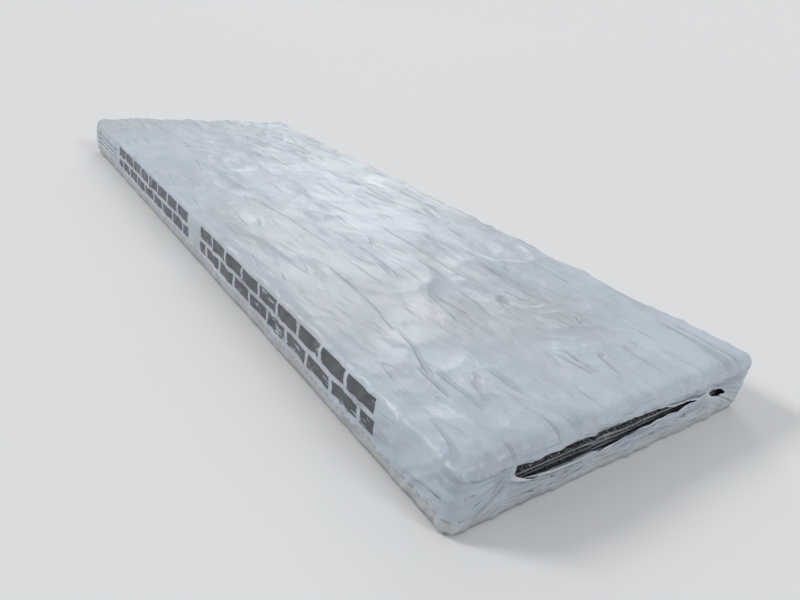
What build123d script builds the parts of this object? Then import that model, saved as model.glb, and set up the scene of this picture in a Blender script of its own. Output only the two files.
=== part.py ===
"""A film-wrapped bundle of laminated asphalt shingles, in millimetres.

Sixteen shingles lie flat on each other, every second one turned over, inside one sleeve of shrunk film.
The origin is the middle of the face that the bundle lies on. +X runs along the shingles, +Z is up.
"""
import math
import os

from build123d import *

# Shingle outline
SHINGLE_LENGTH = 1000.0
SHINGLE_WIDTH = 337.0
TOP_PLY = 2.25
BACKING_PLY = 2.0
STEP_RUN = 25.0
BOND_LAP = 13.0

# Teeth of the top ply, from the left end of the shingle, each followed by a slot
TOOTH_WIDTHS = (118.0, 92.0, 104.0, 86.0, 110.0)
SLOT_WIDTHS = (96.0, 112.0, 90.0, 106.0)
SLOT_FLARE_LEFT = 4.0
SLOT_FLARE_RIGHT = 16.0

# Pack
SHINGLE_COUNT = 16
AIR_GAP = 0.1
STAGGER_ALONG = 2.0
STAGGER_ACROSS = 1.0

# Film sleeve
FILM = 0.8
FILM_CLEARANCE = 0.3
HEADROOM = 0.8
END_SLACK = 9.5
SIDE_SLACK = 9.5
EDGE_RADIUS = 10.0

# Lap along the front, where the film's outer edge lies over its first turn
LAP_EDGE = 15.5
LAP_WIDTH = 30.0

# Openings that the shrunk film leaves in the right and the left end, as someone who faces each end sees them:
# how far right of the middle and how high they lie, their width, and their rise and drop from that height
RIGHT_MOUTH = (6.0, 28.0, 248.0, 13.0, 11.0)
LEFT_MOUTH = (24.0, 29.0, 176.0, 10.0, 8.0)
MOUTH_BLUNT = 17.0
RIGHT_TEAR = (146.0, 22.0, 22.0, 4.0, 4.0)
LEFT_TEAR = (-104.0, 33.0, 36.0, 4.5, 4.5)
TEAR_TILT = -9.0

# The two plies are glued over the lap behind the slots, and two shingles nest step to step
BACKING_WIDTH = (SHINGLE_WIDTH - STEP_RUN) / 2
SLOT_DEPTH = BACKING_WIDTH - BOND_LAP

PAIR_HEIGHT = 2 * TOP_PLY + BACKING_PLY + AIR_GAP
PAIR_PITCH = PAIR_HEIGHT + AIR_GAP
STACK_HEIGHT = (SHINGLE_COUNT // 2) * PAIR_PITCH - AIR_GAP
STACK_BASE = FILM + FILM_CLEARANCE

CAVITY_LENGTH = SHINGLE_LENGTH + 2 * END_SLACK
CAVITY_WIDTH = SHINGLE_WIDTH + 2 * SIDE_SLACK
CAVITY_HEIGHT = STACK_HEIGHT + FILM_CLEARANCE + HEADROOM
BUNDLE_LENGTH = CAVITY_LENGTH + 2 * FILM
BUNDLE_WIDTH = CAVITY_WIDTH + 2 * FILM
BUNDLE_HEIGHT = CAVITY_HEIGHT + 2 * FILM


def step_curve(level):
    """Two tangent arcs that carry the top ply from the backing's level down to the flat, one run long."""
    half = STEP_RUN / 2
    drop = BACKING_PLY / 2
    bend = (half**2 + drop**2) / (2 * drop)
    turn = math.degrees(math.asin(half / bend))
    start = -SHINGLE_WIDTH / 2 + BACKING_WIDTH
    upper = CenterArc((start, level + BACKING_PLY - bend), bend, 90, -turn)
    lower = CenterArc((start + STEP_RUN, level + bend), bend, -90 - turn, turn)
    return upper, lower


def shingle_section():
    """Cross-section of one shingle: backing under the exposed half, top ply over it and down behind it."""
    front = -SHINGLE_WIDTH / 2
    back = SHINGLE_WIDTH / 2
    step_end = front + BACKING_WIDTH + STEP_RUN
    crest = BACKING_PLY + TOP_PLY
    upper, lower = step_curve(TOP_PLY)
    outline = [
        Line((front, 0), (front, crest)),
        Line((front, crest), upper @ 0),
        upper,
        lower,
        Line(lower @ 1, (back, TOP_PLY)),
        Line((back, TOP_PLY), (back, 0)),
        Line((back, 0), (step_end, 0)),
        Line((step_end, 0), (front, 0)),
    ]
    return make_face(outline)


def slot_outline(left, right):
    """Trapezoid between two teeth, wider at the butt edge, or square where it runs out of the shingle's end."""
    butt = -SHINGLE_WIDTH / 2
    head = butt + SLOT_DEPTH
    runs_out = right >= SHINGLE_LENGTH / 2
    wide_right = right + SLOT_DEPTH if runs_out else right + SLOT_FLARE_RIGHT
    corners = [(left, head), (left - SLOT_FLARE_LEFT, butt - 1), (wide_right, butt - 1)]
    corners.append((wide_right if runs_out else right, head))
    return make_face(Polyline(*corners, close=True))


def make_shingle():
    """One laminated shingle, face up, its back on z = 0 and its butt edge towards -Y."""
    section = Plane.YZ * shingle_section()
    body = extrude(section, SHINGLE_LENGTH / 2, both=True)
    x = -SHINGLE_LENGTH / 2
    for index, tooth in enumerate(TOOTH_WIDTHS):
        x += tooth
        gap = SLOT_WIDTHS[index] if index < len(SLOT_WIDTHS) else SHINGLE_LENGTH / 2 - x
        if gap <= 0:
            break
        cut = extrude(slot_outline(x, x + gap), 2 * TOP_PLY)
        body -= Pos(0, 0, BACKING_PLY) * cut
        x += gap
    return body


def place_shingle(shingle, index):
    """Lay shingle number index on the pack: the even ones face up, the odd ones turned over on to them."""
    pair, turned = divmod(index, 2)
    base = STACK_BASE + pair * PAIR_PITCH
    swell = math.sin(math.pi * index / (SHINGLE_COUNT - 1))
    pair_swell = math.sin(math.pi * pair / (SHINGLE_COUNT // 2 - 1))
    shift_x = STAGGER_ALONG * swell * math.sin(2.4 * index)
    shift_y = STAGGER_ACROSS * pair_swell * math.cos(1.7 * pair)
    if turned:
        return Pos(shift_x, shift_y, base + PAIR_HEIGHT) * Rot(180, 0, 0) * shingle
    return Pos(shift_x, shift_y, base) * shingle


def rounded_block(length, width, height, base, radius):
    """Closed block of the sleeve's form, every edge and corner rounded."""
    block = Pos(0, 0, base + height / 2) * Box(length, width, height)
    return fillet(block.edges(), radius)


def lapped_block(length, width, height, base, radius, lap_height):
    """Rounded block whose front face steps in by one film below the height of the lap's edge."""
    whole = rounded_block(length, width, height, base, radius)
    inner = Pos(0, FILM / 2, 0) * rounded_block(length, width - FILM, height, base, radius)
    top = base + height + FILM
    above = Pos(0, 0, (lap_height + top) / 2) * Box(2 * length, 2 * width, top - lap_height)
    return inner + (whole & above)


def mouth_outline(width, rise, drop):
    """Lens-shaped opening: blunt at one side, drawn to a point at the other."""
    left = (-width / 2, 0)
    right = (width / 2, 0)
    blunt_low = (left[0] + MOUTH_BLUNT, -drop * 0.8)
    top = ThreePointArc(left, (0, rise), right)
    bottom = ThreePointArc(right, (MOUTH_BLUNT / 2, -drop), blunt_low)
    return make_face([top, bottom, Line(blunt_low, left)])


def tear_outline(width, rise, drop):
    """Small pointed hole beside the mouth, two arcs end to end."""
    left = (-width / 2, 0)
    right = (width / 2, 0)
    top = ThreePointArc(left, (0, rise), right)
    bottom = ThreePointArc(right, (0, -drop), left)
    return make_face([top, bottom])


def end_cutters(side, mouth, tear):
    """Tools that open the mouth and the tear in one end wall."""
    plane = Plane((side * (BUNDLE_LENGTH / 2 + FILM), 0, 0), x_dir=(0, side, 0), z_dir=(side, 0, 0))
    depth = -(END_SLACK / 2 + 2 * FILM)
    mouth_face = plane * Pos(mouth[0], mouth[1]) * mouth_outline(*mouth[2:])
    tear_face = plane * Pos(tear[0], tear[1]) * Rot(0, 0, TEAR_TILT) * tear_outline(*tear[2:])
    return extrude(mouth_face, depth), extrude(tear_face, depth)


def make_film():
    """The sleeve: one film round the pack, lapped along the front, with an open mouth and a tear at each end."""
    film = lapped_block(BUNDLE_LENGTH, BUNDLE_WIDTH, BUNDLE_HEIGHT, 0, EDGE_RADIUS, LAP_EDGE)
    film -= lapped_block(
        CAVITY_LENGTH, CAVITY_WIDTH, CAVITY_HEIGHT, FILM, EDGE_RADIUS - FILM, LAP_EDGE + LAP_WIDTH
    )
    for side, mouth, tear in ((1, RIGHT_MOUTH, RIGHT_TEAR), (-1, LEFT_MOUTH, LEFT_TEAR)):
        for cutter in end_cutters(side, mouth, tear):
            film -= cutter
    return film


def write(name, shape):
    """Write one sub-part to its own STEP file."""
    export_step(shape, f"parts/{name}.step")


os.makedirs("parts", exist_ok=True)
one_shingle = make_shingle()
for number in range(SHINGLE_COUNT):
    write(f"shingle_{number + 1:02d}", place_shingle(one_shingle, number))
write("film_wrap", make_film())
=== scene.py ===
"""Looks of a film-wrapped bundle of laminated asphalt shingles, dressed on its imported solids, in metres."""

import logging
import math
from dataclasses import dataclass, field
from enum import Enum
from functools import cached_property
from typing import Any

import bpy
import numpy as np
from mathutils import Matrix, Vector


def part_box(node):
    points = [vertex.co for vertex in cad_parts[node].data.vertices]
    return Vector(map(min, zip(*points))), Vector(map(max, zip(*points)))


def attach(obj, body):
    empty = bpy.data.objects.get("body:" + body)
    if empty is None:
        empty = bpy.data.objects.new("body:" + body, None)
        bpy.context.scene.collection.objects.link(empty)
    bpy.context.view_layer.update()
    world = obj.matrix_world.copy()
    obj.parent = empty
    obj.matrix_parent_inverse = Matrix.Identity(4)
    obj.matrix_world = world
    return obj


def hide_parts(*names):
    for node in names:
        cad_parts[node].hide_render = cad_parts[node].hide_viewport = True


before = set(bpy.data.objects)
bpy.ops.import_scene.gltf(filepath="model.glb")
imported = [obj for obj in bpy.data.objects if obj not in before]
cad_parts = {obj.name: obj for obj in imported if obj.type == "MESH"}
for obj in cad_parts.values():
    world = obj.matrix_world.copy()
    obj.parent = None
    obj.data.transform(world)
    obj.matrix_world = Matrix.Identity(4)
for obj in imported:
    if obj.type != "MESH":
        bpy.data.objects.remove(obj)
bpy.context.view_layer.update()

log = logging.getLogger("shingle_bundle")

# Short names for types that come up often
Array = np.ndarray
Floats = tuple[float, ...]
Piece = bpy.types.Object

MM = 0.001
SHINGLE_NODES = sorted(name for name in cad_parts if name.startswith("shingle_"))

# Pitch of the saw teeth along the film's edge, which was cut with a serrated knife
TOOTH = 9 * MM


def smoothstep(low: float, high: float, value: Array) -> Array:
    """Ease from 0 at low to 1 at high, which may be the smaller of the two, by 3t^2 - 2t^3."""
    t = np.clip((value - low) / (high - low), 0.0, 1.0)
    return t * t * (3.0 - 2.0 * t)


def bell(centre: float, width: float, value: Array) -> Array:
    """Bell curve exp(-((v - centre) / width)^2)."""
    return np.exp(-(((value - centre) / width) ** 2))


def saw(x: Array) -> Array:
    """Saw teeth along x, one TOOTH long, from 0 in the middle of a tooth to 1 between two."""
    return np.abs(np.mod(x / TOOTH, 1.0) - 0.5) * 2.0


def stacked(*coords: Array) -> Array:
    """Points of three coordinate arrays, which are broadcast together first."""
    return np.stack(np.broadcast_arrays(*coords), axis=-1)


@dataclass(frozen=True)
class Noise:
    """Seeded gradient noise in three dimensions.

    At each corner of the unit lattice a random unit gradient is dotted with the offset to the point, and the
    eight results are blended by the fade 6t^5 - 15t^4 + 10t^3 of each coordinate.
    """

    seed: int

    def __call__(self, *coords: Any) -> Array:
        """Read the noise.

        Args:
            coords: up to three arrays or numbers, in lattice units, that broadcast together.

        Returns:
            Values from about -1 to 1, in the broadcast shape.
        """
        rng = np.random.default_rng(self.seed)
        order = rng.permutation(256)
        gradient = rng.normal(size=(256, 3))
        gradient /= np.linalg.norm(gradient, axis=1, keepdims=True)
        padded = list(coords) + [0.5] * (3 - len(coords))
        points = stacked(*padded).astype(float)
        cell = np.floor(points).astype(np.int64)
        offset = points - cell
        fade = offset**3 * (offset * (offset * 6.0 - 15.0) + 10.0)
        total = np.zeros(points.shape[:-1])
        for corner in np.ndindex(2, 2, 2):
            step = np.array(corner)
            key = order[(cell[..., 0] + step[0]) & 255]
            key = order[(key + cell[..., 1] + step[1]) & 255]
            key = order[(key + cell[..., 2] + step[2]) & 255]
            share = np.prod(np.where(step, fade, 1.0 - fade), axis=-1)
            total += share * np.sum(gradient[key] * (offset - step), axis=-1)
        return total * 1.6

    def ridged(self, *coords: Any) -> Array:
        """Sharp crests where the noise crosses nought: 1 - 2.2|n|, held above 0 and squared."""
        crest = np.clip(1.0 - 2.2 * np.abs(self(*coords)), 0.0, 1.0)
        return crest * crest


@dataclass
class Surface:
    """Points, faces and values of one mesh, before it goes to Blender."""

    points: Array
    faces: Array
    uv: Array | None = None
    values: dict[str, Array] = field(default_factory=dict)

    @staticmethod
    def quads(index: Array) -> Array:
        """Quads of a grid of point numbers, turning from the first parameter to the second."""
        return np.stack([index[:-1, :-1], index[1:, :-1], index[1:, 1:], index[:-1, 1:]], axis=-1)

    @staticmethod
    def grid(points: Array, keep: Array | None = None, **extra: Any) -> "Surface":
        """Surface of a grid of points, with its uv and its values.

        Args:
            points: (rows, columns, 3), in metres.
            keep: (rows - 1, columns - 1), true for each quad that stays, or None for all of them.
            extra: uv, (rows, columns, 2), and values, arrays of (rows, columns) by their names.

        Returns:
            The surface, its quads turning from the first parameter to the second.
        """
        rows, columns = points.shape[:2]
        quads = Surface.quads(np.arange(rows * columns).reshape(rows, columns))
        quads = quads.reshape(-1, 4) if keep is None else quads[keep]
        uv = extra.get("uv")
        values = {key: value.reshape(-1) for key, value in extra.get("values", {}).items()}
        return Surface(points.reshape(-1, 3), quads, None if uv is None else uv.reshape(-1, 2), values)

    def build(self, name: str) -> Piece:
        """Put the surface into a smooth mesh, without the points that no face uses.

        Args:
            name: the object's name, and its mesh's.

        Returns:
            The object, linked to the scene.
        """
        used, faces = np.unique(self.faces, return_inverse=True)
        faces = faces.reshape(self.faces.shape)
        mesh = bpy.data.meshes.new(name)
        mesh.vertices.add(len(used))
        mesh.vertices.foreach_set("co", self.points[used].astype(np.float32).ravel())
        mesh.loops.add(faces.size)
        mesh.loops.foreach_set("vertex_index", faces.astype(np.int32).ravel())
        mesh.polygons.add(len(faces))
        starts = np.arange(0, faces.size, faces.shape[1], dtype=np.int32)
        mesh.polygons.foreach_set("loop_start", starts)
        mesh.polygons.foreach_set("use_smooth", np.ones(len(faces), dtype=bool))
        mesh.update(calc_edges=True)
        if self.uv is not None:
            layer = mesh.uv_layers.new(name="along")
            layer.data.foreach_set("uv", self.uv[used][faces.ravel()].astype(np.float32).ravel())
        for key, value in self.values.items():
            attribute = mesh.attributes.new(key, "FLOAT", "POINT")
            attribute.data.foreach_set("value", value[used].astype(np.float32))
        piece = bpy.data.objects.new(name, mesh)
        bpy.context.scene.collection.objects.link(piece)
        return piece


@dataclass(frozen=True)
class Mouth:
    """Lens-shaped opening that the shrunk film leaves in one end of the sleeve.

    It is described as someone who faces that end sees it, with p to the right and z up. A tip's power says
    how the opening fills out from it: near 1 is a long thin taper, and 5 is a blunt cut.
    """

    side: int
    centre: float
    half_width: float
    axis_height: float
    rise: float
    drop: float
    left_tip: float
    right_tip: float
    left_power: float
    right_power: float
    slope: float
    peak: float
    sag: float = 1.2 * MM

    def share(self, y: Array) -> Array:
        """Place across the mouth, -1 at the left tip and 1 at the right one."""
        return np.clip((self.side * y - self.centre) / self.half_width, -1.0, 1.0)

    def across(self, share: Array) -> Array:
        """World y for a share from -1 to 1 of the half width, counted along +Y."""
        return self.side * self.centre + share * self.half_width

    def axis(self, y: Array) -> Array:
        """Height of the mouth's axis, which leans by slope and sags a little in the middle."""
        t = self.share(y)
        return self.axis_height + self.slope * t - self.sag * (1.0 - t * t)

    def opening(self, y: Array, upper: bool) -> Array:
        """Half opening above or below the axis at y.

        From the widest place, at peak, to a tip the share t goes from 0 to 1, and the half opening is tip +
        (top - tip)(1 - t^power)^0.9.

        Args:
            y: places across the bundle, in metres.
            upper: true for the half above the axis, false for the half below it.

        Returns:
            The half opening at each place, in metres.
        """
        t = self.share(y)
        left = np.clip((self.peak - t) / (self.peak + 1.0), 0.0, 1.0)
        right = np.clip((t - self.peak) / (1.0 - self.peak), 0.0, 1.0)
        top = self.rise if upper else self.drop
        left_side = self.left_tip + (top - self.left_tip) * (1.0 - left**self.left_power) ** 0.9
        right_side = self.right_tip + (top - self.right_tip) * (1.0 - right**self.right_power) ** 0.9
        return np.where(t < self.peak, left_side, right_side)


@dataclass(frozen=True)
class Tear:
    """Small hole in an end wall: an ellipse turned by tilt, swollen on its left and pinched on its right."""

    side: int
    across: float
    height: float
    half_width: float
    half_height: float
    tilt: float
    pinch: float = 0.22

    def reach(self, y: Array, z: Array) -> tuple[Array, Array, Array]:
        """How far out points lie from the hole's middle, 1 being on its edge.

        With u and v in half widths and half heights along the hole's own axes, that is their length over a
        rim of 1 - pinch sin(2 angle)^2 on the right and 1 + pinch sin(2 angle)^2 on the left.

        Args:
            y: the points' places across the bundle, in metres.
            z: their heights, in metres.

        Returns:
            How far out each point lies, and its u and v.
        """
        p, q = self.side * y - self.across, z - self.height
        u = (p * math.cos(self.tilt) + q * math.sin(self.tilt)) / self.half_width
        v = (q * math.cos(self.tilt) - p * math.sin(self.tilt)) / self.half_height
        spread = np.arctan2(v, u)
        rim = 1.0 - self.pinch * np.sin(2.0 * np.abs(spread)) ** 2 * np.sign(np.cos(spread))
        return np.hypot(u, v) / rim, u, v

    def push_out(self, y: Array, z: Array) -> tuple[Array, Array]:
        """Move points that lie inside the edge straight out on to it.

        Args:
            y: the points' places across the bundle, in metres.
            z: their heights, in metres.

        Returns:
            The y and the z of the points, moved where they lay inside.
        """
        far, u, v = self.reach(y, z)
        scale = np.where((far < 1.0) & (far > 1e-6), 1.0 / np.maximum(far, 1e-6), 1.0)
        p = u * scale * self.half_width
        q = v * scale * self.half_height
        across = self.across + p * math.cos(self.tilt) - q * math.sin(self.tilt)
        return self.side * across, self.height + p * math.sin(self.tilt) + q * math.cos(self.tilt)


@dataclass(frozen=True)
class Wrinkles:
    """Heights of the film's wrinkles along its normal, in metres, from the values that FilmSleeve describes.

    Every noise is read at places divided by the size of its features. The two ends read it end_shift apart.
    """

    reach: float
    end_shift: float = 7.0
    fan_heights: Floats = (18 * MM, 448 * MM)

    def sleeve(self, x: Array, s: Array, ny: Array, nz: Array) -> Array:
        """Wrinkles of the long faces: swells, slanting creases, drapes on top, gathers and fans at ends.

        Args:
            x: place along the bundle.
            s: place round the section.
            ny: the section's outward normal, its part along y.
            nz: the section's outward normal, its part along z.

        Returns:
            The height at each point.
        """
        end = np.sign(x) * self.end_shift
        on_side = smoothstep(0.3, 0.9, np.abs(ny))
        on_top = smoothstep(0.3, 0.9, nz)
        swell = Noise(3)(x / 0.16, s / 0.09) * 1.0 * MM + Noise(4)(x / 0.06, s / 0.045) * 0.5 * MM
        swell = swell + (Noise(34)(x / 0.30, s / 0.16) + 0.6) * 1.6 * MM * on_top
        patch = smoothstep(-0.25, 0.5, Noise(5)(x / 0.11, s / 0.07))
        bend = Noise(31)(x / 0.07, s / 0.05) * 0.35
        creases = self.slanted(6, x, s, 52.0, 0.021, 0.085, bend) * 2.1 * MM * patch
        creases += self.slanted(7, x, s, -58.0, 0.030, 0.10, bend) * 1.8 * MM * (1.0 - patch)
        creases += self.slanted(8, x, s, 20.0, 0.012, 0.07, bend) * 0.9 * MM
        warp_x, warp_s = Noise(35)(x / 0.09, s / 0.09) * 0.5, Noise(36)(x / 0.09, s / 0.09) * 0.5
        drape = Noise(9).ridged(x / 0.14 + warp_x, s / 0.085 + warp_s) * 1.5 * MM
        drape += Noise(10).ridged(x / 0.065 - warp_s, s / 0.04 + warp_x) * 0.7 * MM * patch
        drape += self.slanted(32, x, s, 12.0, 0.045, 0.30, bend) * 1.2 * MM * (1.0 - patch)
        slack = smoothstep(-0.15, 0.45, Noise(38)(x / 0.20, s / 0.15))
        top = on_top * (1.5 * drape + (0.25 + 0.65 * slack) * creases)
        edge = np.maximum(self.reach - np.abs(x), 0.0)
        gathers = Noise(12).ridged(s / 0.017 + bend, x / 0.08 + end) ** 2 * 1.5 * MM
        gathers += Noise(13).ridged(s / 0.036 - bend, x / 0.12 + end) ** 1.5 * 1.2 * MM
        near_end = np.exp(-edge / 0.05) * (1.0 - 0.7 * on_side)
        above, out = s - np.where(ny > 0, self.fan_heights[1], self.fan_heights[0]), edge + 6 * MM
        radius, angle = np.hypot(out, above), np.arctan2(above, out)
        fan = Noise(37).ridged(angle / 0.32 + bend, radius / 0.12 + end) * 2.0 * MM * np.exp(-radius / 0.075)
        return swell + on_side * (creases + fan) + top + near_end * gathers

    def slanted(self, seed: int, x: Array, s: Array, degrees: float, width: float, length: float,
                bend: Array) -> Array:
        """Ridged noise on turned coordinates: x cos + s sin along its crests, s cos - x sin over them.

        Args:
            seed: the noise's seed.
            x: place along the bundle.
            s: place round the section.
            degrees: how far the crests are turned from the bundle's length.
            width: how far apart they lie.
            length: about how long they are.
            bend: how far they are pushed aside, as a share of width.

        Returns:
            Crests from 0 to 1.
        """
        slant = math.radians(degrees)
        along = x * math.cos(slant) + s * math.sin(slant)
        over = s * math.cos(slant) - x * math.sin(slant)
        return Noise(seed).ridged(over / width + bend, along / length)

    def wall(self, s: Array, cap: Array, inward: Array, y: Array, nz: Array) -> Array:
        """Wrinkles of an end wall: folds along the mouth's lips, pleats fanned from its tips, rolled rim.

        Args:
            s: place round the section.
            cap: cap parameter, whose sign names the end.
            inward: share of the way across the end wall to the mouth's rim.
            y: place across the bundle.
            nz: the section's outward normal, its part along z.

        Returns:
            The height at each point.
        """
        side = np.sign(cap) * self.end_shift + np.sign(nz)
        start = smoothstep(0.0, 0.2, inward)
        fan = smoothstep(0.10, 0.15, np.abs(y))
        warp = Noise(14)(y / 0.06, side) * 0.5
        folds = Noise(15).ridged(inward * 2.6 + warp, y / 0.10, side) * 2.6 * MM
        folds += Noise(16).ridged(inward * 5.0 - warp, y / 0.06, side) * 1.5 * MM
        folds -= Noise(33).ridged(inward * 3.4 + 0.5 * warp, y / 0.14, side) * 2.0 * MM
        closing = 0.2 + 0.8 * (1.0 - inward)
        pleats = Noise(17).ridged(s / 0.0085, inward * 0.9, side) * 2.8 * MM * closing
        pleats -= Noise(18).ridged(s / 0.006, inward * 0.7, side) * 1.4 * MM * closing
        pleats += np.sin(np.pi * inward) * 1.5 * MM
        roll = bell(0.94, 0.05, inward) * 1.2 * MM * (1.0 + Noise(19)(y / 0.02, side))
        return start * (folds * (1.0 - fan) + pleats * fan) + roll


@dataclass
class FilmSleeve:
    """The one sheet of film that is wrapped round the pack, lapped along the front and shrunk over the ends.

    Each row of its grid has a place x along the bundle and a cap parameter, which is nought on the sleeve and
    grows to 1 at a mouth's rim, or falls to -1 at the left end's. Up to turn_share the film turns through a
    quarter circle of end_radius. The rest is the end wall, dished inwards, where inward goes from 0 to 1 at
    the rim. Each column has a place s round the section, from the foot of the straight front face upwards,
    where the section's outward normal is ny and nz.
    """

    half_length: float = 510.3 * MM
    half_width: float = 178.8 * MM
    height: float = 56.2 * MM
    corner: float = 10.0 * MM
    end_radius: float = 9.0 * MM
    lap_height: float = 15.5 * MM
    lap_width: float = 30.0 * MM
    lap_step: float = 1.1 * MM
    tooth_depth: float = 1.1 * MM
    tooth_reach: float = 2.5 * MM
    dish: float = 6.0 * MM
    wall_reach: float = 24 * MM
    turn_share: float = 0.36
    deepest_valley: float = 0.35 * MM
    foot_rise: float = 0.9 * MM
    full_crest: float = 1.6 * MM
    cap_rows: int = 34
    sleeve_rows: int = 300
    column_counts: tuple[int, ...] = (14, 8, 132, 8, 14, 8, 62, 8, 16)
    mouths: tuple[Mouth, Mouth] = (
        Mouth(side=-1, centre=24 * MM, half_width=88 * MM, axis_height=29 * MM, rise=9.5 * MM, drop=7 * MM,
              left_tip=0.6 * MM, right_tip=1.0 * MM, left_power=1.6, right_power=2.0, slope=2.5 * MM,
              peak=0.15),
        Mouth(side=1, centre=6 * MM, half_width=124 * MM, axis_height=28.5 * MM, rise=12.5 * MM, drop=11 * MM,
              left_tip=4.2 * MM, right_tip=0.5 * MM, left_power=5.0, right_power=1.45, slope=-2.5 * MM,
              peak=-0.45),
    )
    tears: tuple[Tear, ...] = (
        Tear(side=-1, across=-104 * MM, height=33 * MM, half_width=18 * MM, half_height=4.5 * MM, tilt=-0.15),
        Tear(side=1, across=146 * MM, height=22 * MM, half_width=11 * MM, half_height=4 * MM, tilt=-0.16),
    )

    def perimeter(self) -> float:
        """Length once round the section."""
        straight = 2 * (self.height - 2 * self.corner) + 4 * (self.half_width - self.corner)
        return straight + 2 * math.pi * self.corner

    def lap_start(self) -> float:
        """Place round the section where the sheet's first edge lies."""
        return self.lap_height - self.corner

    def breaks(self) -> Array:
        """Places round the section where a straight or a corner ends.

        Returns:
            Nine rising places in metres, from 0 to once round.
        """
        side, flat = self.height - 2 * self.corner, 2 * (self.half_width - self.corner)
        bend = math.pi / 2 * self.corner
        return np.cumsum([0, side, bend, flat, bend, side, bend, flat, bend])

    def columns(self) -> Array:
        """Places of the grid's columns round the section, closer together where the film bends.

        Returns:
            Rising places in metres, from the sheet's first edge to its last one, a lap past once round.
        """
        ends = np.append(self.breaks(), self.perimeter() + self.lap_start() + self.lap_width)
        ends[0] = self.lap_start()
        counts = self.column_counts
        return np.interp(np.arange(sum(counts) + 1), np.cumsum((0,) + counts), ends)

    def section(self, s: Array) -> tuple[Array, Array, Array, Array]:
        """Rounded rectangle: a corner's centre, plus the corner's radius along the outward normal.

        Args:
            s: places round it, in metres, which may pass once round.

        Returns:
            The y and z of each place, and the y and z of its outward normal.
        """
        s = np.mod(s, self.perimeter())
        stops = self.breaks()
        r = self.corner
        angles = np.interp(s, stops, np.pi / 2 * np.array([2, 2, 1, 1, 0, 0, -1, -1, -2]))
        centre_y = np.interp(s, stops, (self.half_width - r) * np.array([-1, -1, -1, 1, 1, 1, 1, -1, -1]))
        low, high = r, self.height - r
        centre_z = np.interp(s, stops, np.array([low, high, high, high, high, low, low, low, low]))
        normal_y, normal_z = np.cos(angles), np.sin(angles)
        return centre_y + r * normal_y, centre_z + r * normal_z, normal_y, normal_z

    def rows(self) -> tuple[Array, Array]:
        """Each row's place along x, and its cap parameter.

        Returns:
            Two arrays of (rows, 1): x in metres, and the cap parameter from -1 to 1.
        """
        reach = self.half_length - self.end_radius
        even = np.linspace(-1.0, 1.0, self.sleeve_rows)
        x = reach * (even + 0.45 * np.sin(np.pi * even) / np.pi)
        cap = np.linspace(1.0, 0.0, self.cap_rows, endpoint=False)
        places = np.concatenate([np.full(self.cap_rows, -reach), x, np.full(self.cap_rows, reach)])
        shares = np.concatenate([-cap, np.zeros(self.sleeve_rows), cap[::-1]])
        return places[:, None], shares[:, None]

    def build(self) -> Piece:
        """Make the sheet's mesh: the smooth sheet, moved along its normal by its wrinkles and its lap.

        Returns:
            The film's object, with its uv and its values: crest, how high its relief is, which the finish
            turns into painted highlight on crests and painted shade in valleys; band, the turn under the lap;
            lip, a mouth's or a tear's edge, which the finish paints as a highlight; wall, an end wall; and
            gather, the folds beside a mouth.
        """
        x, cap = self.rows()
        s = self.columns()[None, :]
        turn = np.clip(np.abs(cap) / self.turn_share, 0.0, 1.0) * np.pi / 2
        inward = np.clip((np.abs(cap) - self.turn_share) / (1.0 - self.turn_share), 0.0, 1.0)
        cut = np.exp(-np.abs(s - self.lap_start()) / self.tooth_reach) * (cap == 0)
        s = s + self.tooth_depth * (saw(x) - 0.5) * cut
        y, z, ny, nz = self.section(s)
        points = self.smooth(x, cap, turn, inward, (y, z, ny, nz))
        normal = stacked(np.sign(cap) * np.sin(turn), ny * np.cos(turn), nz * np.cos(turn))
        relief = self.relief(x, s, cap, inward, points[..., 1], ny, nz)
        points += normal * relief[..., None]
        # The lip value marks the mouths' rims; the film's finish paints it as a highlight
        lip = smoothstep(0.86, 0.99, inward) + 0 * s
        keep = self.cut_tears(points, cap, lip)
        under = nz * np.cos(turn) < -0.5
        points[..., 2] = np.where(under, np.clip(points[..., 2], 0.0, self.foot_rise), points[..., 2])
        points[..., 2] = np.maximum(points[..., 2], 0.0)
        uv = stacked(x + cap * 40 * MM, s)
        whole = self.perimeter()
        values = {
            "crest": np.clip(relief / self.full_crest, -1.0, 1.0),
            "band": smoothstep(whole - 30 * MM, whole - 20 * MM, s + 0 * x),
            "lip": np.minimum(lip, 1.0),
            "wall": smoothstep(0.05, 0.5, np.abs(cap)) + 0 * s,
            "gather": smoothstep(0.10, 0.15, np.abs(points[..., 1])) * smoothstep(0.1, 0.5, np.abs(cap)),
        }
        return Surface.grid(points, keep, uv=uv, values=values).build("film_sleeve")

    def smooth(self, x: Array, cap: Array, turn: Array, inward: Array, section: tuple[Array, ...]) -> Array:
        """The sheet without wrinkles: the section at each x, drawn in over the ends to the mouths' rims.

        Args:
            x: place along the bundle, without what the ends add.
            cap: cap parameter, whose sign names the end.
            turn: angle that the film has turned over the bundle's end, in radians.
            inward: share of the way across the end wall to the mouth's rim.
            section: y, z, and the outward normal's y and z, for each column.

        Returns:
            The points, (rows, columns, 3), in metres.
        """
        y0, z0, ny, nz = section
        sink = self.end_radius * (1.0 - np.cos(turn))
        rim_y, rim_z = self.rims(y0 - self.end_radius * ny, z0 - self.end_radius * nz, cap)
        y, z = y0 - sink * ny, z0 - sink * nz
        y, z = y + (rim_y - y) * inward, z + (rim_z - z) * inward
        far = self.end_radius * np.sin(turn) - self.dish * smoothstep(0.0, 1.0, inward)
        return stacked(x + np.sign(cap) * far, y, z).copy()

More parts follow.
